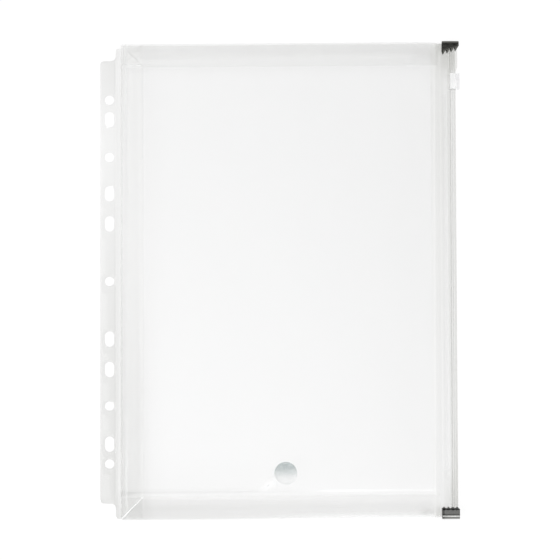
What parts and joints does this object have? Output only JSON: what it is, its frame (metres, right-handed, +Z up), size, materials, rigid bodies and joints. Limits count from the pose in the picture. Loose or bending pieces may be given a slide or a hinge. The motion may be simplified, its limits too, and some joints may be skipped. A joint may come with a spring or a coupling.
{
  "type": "zip binder wallet",
  "caption": "Clear film document pocket with inward-folded gussets, a press-lock zip with a runner and end clips, and a punched ring-binder strip on a crease.",
  "frame": {"origin": "bottom centre of the wallet's box, lying on its back panel", "axes": "+X from the binding strip to the zip, +Y to the top edge, +Z up from the table through the front panel"},
  "size_m": [0.2374, 0.3146, 0.0072],
  "materials": {
    "panel_film": "clear PVC film, lightly frosted",
    "gusset_film": "clear PVC film, folded",
    "strip_film": "thicker clear PVC strip",
    "zip_plastic": "extruded clear PVC",
    "slider_plastic": "moulded clear plastic",
    "dark_steel": "stamped steel in shade",
    "grey_steel": "stamped steel",
    "label_film": "plain pressed disc"
  },
  "bodies": {
    "pocket": {"back_panel": "panel_film", "spine_gusset_back": "gusset_film", "top_gusset_back": "gusset_film", "bottom_gusset_back": "gusset_film", "strip_margin": "strip_film", "zip_track_back": "zip_plastic", "top_end_clip": "dark_steel", "bottom_end_clip": "grey_steel"},
    "gusset_front": {"spine_gusset_front": "gusset_film", "top_gusset_front": "gusset_film", "bottom_gusset_front": "gusset_film"},
    "front_cover": {"front_panel": "panel_film", "zip_track_front": "zip_plastic", "label_disc": "label_film"},
    "slider": {"slider": "slider_plastic"},
    "binding_tab": {"binding_tab": "strip_film"}
  },
  "joints": [
    {"name": "gusset_expand", "type": "hinge", "parent": "pocket", "child": "gusset_front", "pos_m": [0.11315, 0, 0.0035], "axis": [0, 1, 0], "range_deg": [0, 5.2], "deforming": ["zip_track_front"]},
    {"name": "mouth_open", "type": "hinge", "parent": "gusset_front", "child": "front_cover", "pos_m": [-0.10485, 0, 0.00688], "axis": [0, -1, 0], "range_deg": [0, 6.5], "deforming": ["zip_track_front"]},
    {"name": "slider_travel", "type": "slide", "parent": "pocket", "child": "slider", "axis": [0, 1, 0], "range_m": [-0.2742, 0.012]},
    {"name": "tab_fold", "type": "hinge", "parent": "pocket", "child": "binding_tab", "pos_m": [-0.10875, 0, 0.0005], "axis": [0, 1, 0], "range_deg": [-90, 90]}
  ]
}
